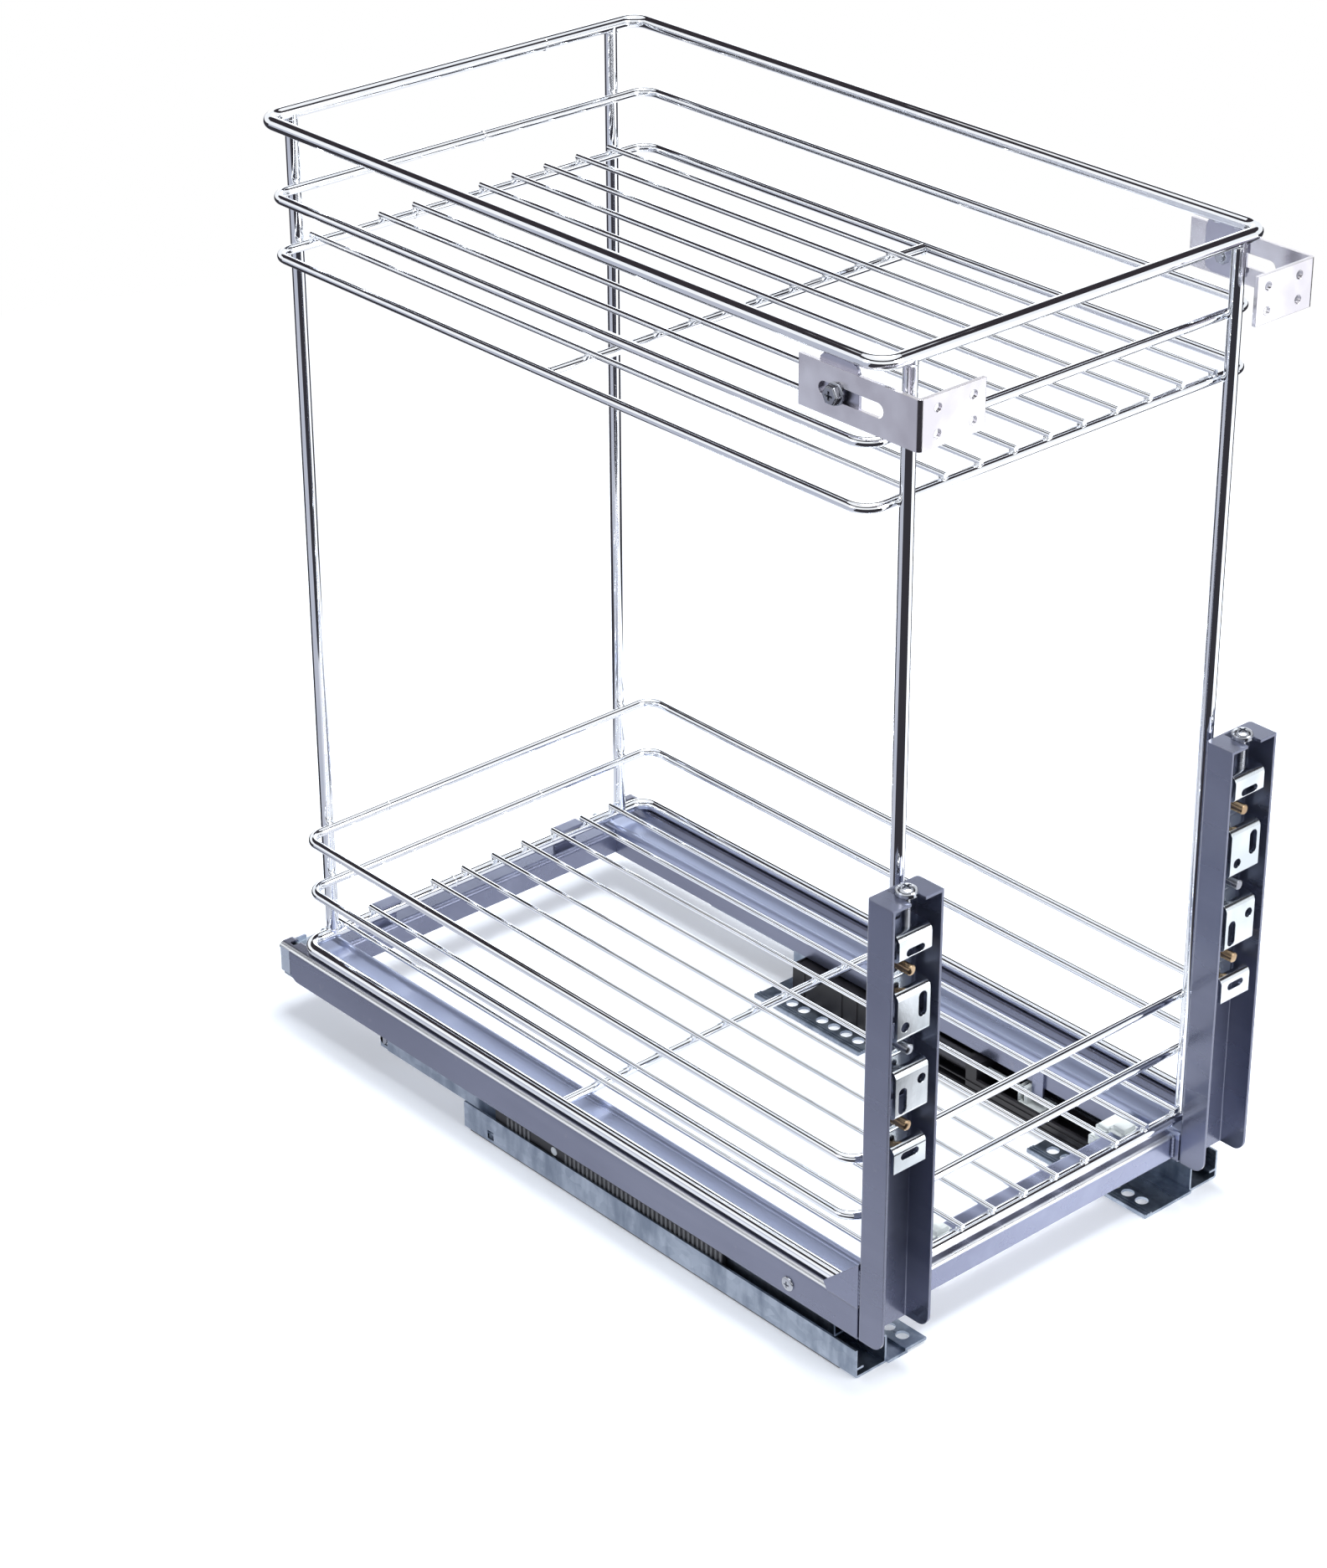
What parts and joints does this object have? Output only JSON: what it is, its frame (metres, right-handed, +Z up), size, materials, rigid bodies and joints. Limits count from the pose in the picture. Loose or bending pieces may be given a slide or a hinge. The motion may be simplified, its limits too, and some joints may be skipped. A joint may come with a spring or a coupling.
{
  "type": "pull-out cargo basket",
  "caption": "Two-tier chromed wire basket on roller slides with a soft-close damper, for a narrow base unit, with channels and brackets for the door front.",
  "frame": {"origin": "on the floor plane of the cabinet rails, below the middle of the bounding box, basket pushed home", "axes": "+Z up, -Y to the front where the door is fixed and the basket comes out, +X to the right seen from the front"},
  "size_m": [0.2648, 0.484, 0.526],
  "materials": {
    "wire": "polished chrome plate",
    "coated_frame": "satin blue-grey powder coat",
    "rail_steel": "galvanised, faint spangle",
    "plated_steel": "bright nickel plate",
    "screw_steel": "bright zinc plate",
    "brass": "yellow passivated",
    "cage_plastic": "moulded, matt black",
    "roller_plastic": "natural nylon",
    "damper_plastic": "moulded, matt black",
    "damper_metal": "drawn tube",
    "nylon": "milky nylon"
  },
  "bodies": {
    "slide_base": {"cabinet_rail_left": "rail_steel", "cabinet_rail_right": "rail_steel", "front_plate_left": "rail_steel", "front_plate_right": "rail_steel", "rear_plate_left": "rail_steel", "rear_plate_right": "rail_steel", "damper_housing": "damper_plastic", "damper_cylinder": "damper_metal"},
    "basket": {"top_rail": "wire", "upper_middle_rail": "wire", "upper_floor_rim": "wire", "upper_floor_wires": "wire", "upper_cross_wire": "wire", "lower_top_rail": "wire", "lower_middle_rail": "wire", "base_rim": "wire", "lower_floor_wires": "wire", "lower_cross_wire": "wire", "post_front_left": "wire", "post_front_right": "wire", "post_rear_left": "wire", "post_rear_right": "wire", "side_member_left": "coated_frame", "side_member_right": "coated_frame", "gusset_left": "coated_frame", "gusset_right": "coated_frame", "front_member": "coated_frame", "rear_member": "coated_frame", "door_channel_left": "coated_frame", "door_channel_right": "coated_frame", "striker": "coated_frame", "drawer_rail_left": "rail_steel", "drawer_rail_right": "rail_steel", "bracket_ear_left": "rail_steel", "bracket_ear_right": "rail_steel", "clamp_screws": "screw_steel", "clamp_nuts": "screw_steel", "frame_screws": "screw_steel", "strip_screws_zinc": "screw_steel", "strip_screws_brass": "brass", "nylon_blocks": "nylon"},
    "damper_catch": {"damper_catch": "nylon"},
    "middle_left": {"middle_rail_left": "rail_steel"},
    "lower_cage_left": {"lower_cage_left": "cage_plastic", "lower_rollers_left": "roller_plastic"},
    "upper_cage_left": {"upper_cage_left": "cage_plastic", "upper_rollers_left": "roller_plastic"},
    "middle_right": {"middle_rail_right": "rail_steel"},
    "lower_cage_right": {"lower_cage_right": "cage_plastic", "lower_rollers_right": "roller_plastic"},
    "upper_cage_right": {"upper_cage_right": "cage_plastic", "upper_rollers_right": "roller_plastic"},
    "top_bracket_left": {"top_bracket_left": "plated_steel"},
    "door_strip_left": {"door_strip_left": "plated_steel"},
    "height_screw_left": {"height_screw_left": "screw_steel"},
    "top_bracket_right": {"top_bracket_right": "plated_steel"},
    "door_strip_right": {"door_strip_right": "plated_steel"},
    "height_screw_right": {"height_screw_right": "screw_steel"}
  },
  "joints": [
    {"name": "basket_slide", "type": "slide", "parent": "slide_base", "child": "basket", "axis": [0, -1, 0], "range_m": [0, 0.44]},
    {"name": "middle_left_slide", "type": "slide", "parent": "slide_base", "child": "middle_left", "axis": [0, -1, 0], "range_m": [0, 0.22]},
    {"name": "lower_cage_left_slide", "type": "slide", "parent": "slide_base", "child": "lower_cage_left", "axis": [0, -1, 0], "range_m": [0, 0.11]},
    {"name": "upper_cage_left_slide", "type": "slide", "parent": "slide_base", "child": "upper_cage_left", "axis": [0, -1, 0], "range_m": [0, 0.33]},
    {"name": "middle_right_slide", "type": "slide", "parent": "slide_base", "child": "middle_right", "axis": [0, -1, 0], "range_m": [0, 0.22]},
    {"name": "lower_cage_right_slide", "type": "slide", "parent": "slide_base", "child": "lower_cage_right", "axis": [0, -1, 0], "range_m": [0, 0.11]},
    {"name": "upper_cage_right_slide", "type": "slide", "parent": "slide_base", "child": "upper_cage_right", "axis": [0, -1, 0], "range_m": [0, 0.33]},
    {"name": "catch_slide", "type": "slide", "parent": "slide_base", "child": "damper_catch", "axis": [0, -1, 0], "range_m": [0, 0.038]},
    {"name": "top_bracket_left_slide", "type": "slide", "parent": "basket", "child": "top_bracket_left", "axis": [0, -1, 0], "range_m": [-0.01, 0.007]},
    {"name": "door_strip_left_lift", "type": "slide", "parent": "basket", "child": "door_strip_left", "axis": [0, 0, 1], "range_m": [-0.003, 0.003]},
    {"name": "height_screw_left_turn", "type": "hinge", "parent": "basket", "child": "height_screw_left", "pos_m": [-0.11475, -0.2295, 0.26], "axis": [0, 0, 1], "range_deg": [-1351, 1351]},
    {"name": "top_bracket_right_slide", "type": "slide", "parent": "basket", "child": "top_bracket_right", "axis": [0, -1, 0], "range_m": [-0.01, 0.007]},
    {"name": "door_strip_right_lift", "type": "slide", "parent": "basket", "child": "door_strip_right", "axis": [0, 0, 1], "range_m": [-0.003, 0.003]},
    {"name": "height_screw_right_turn", "type": "hinge", "parent": "basket", "child": "height_screw_right", "pos_m": [0.11475, -0.2295, 0.26], "axis": [0, 0, 1], "range_deg": [-1351, 1351]}
  ],
  "couplings": [
    {"joint": "middle_left_slide", "follows": "basket_slide", "ratio": 0.5},
    {"joint": "lower_cage_left_slide", "follows": "basket_slide", "ratio": 0.25},
    {"joint": "upper_cage_left_slide", "follows": "basket_slide", "ratio": 0.75},
    {"joint": "middle_right_slide", "follows": "basket_slide", "ratio": 0.5},
    {"joint": "lower_cage_right_slide", "follows": "basket_slide", "ratio": 0.25},
    {"joint": "upper_cage_right_slide", "follows": "basket_slide", "ratio": 0.75},
    {"joint": "catch_slide", "follows": "basket_slide", "ratio": 0.086363},
    {"joint": "height_screw_left_turn", "follows": "door_strip_left_lift", "rad_per_m": 7854},
    {"joint": "height_screw_right_turn", "follows": "door_strip_right_lift", "rad_per_m": 7854}
  ]
}
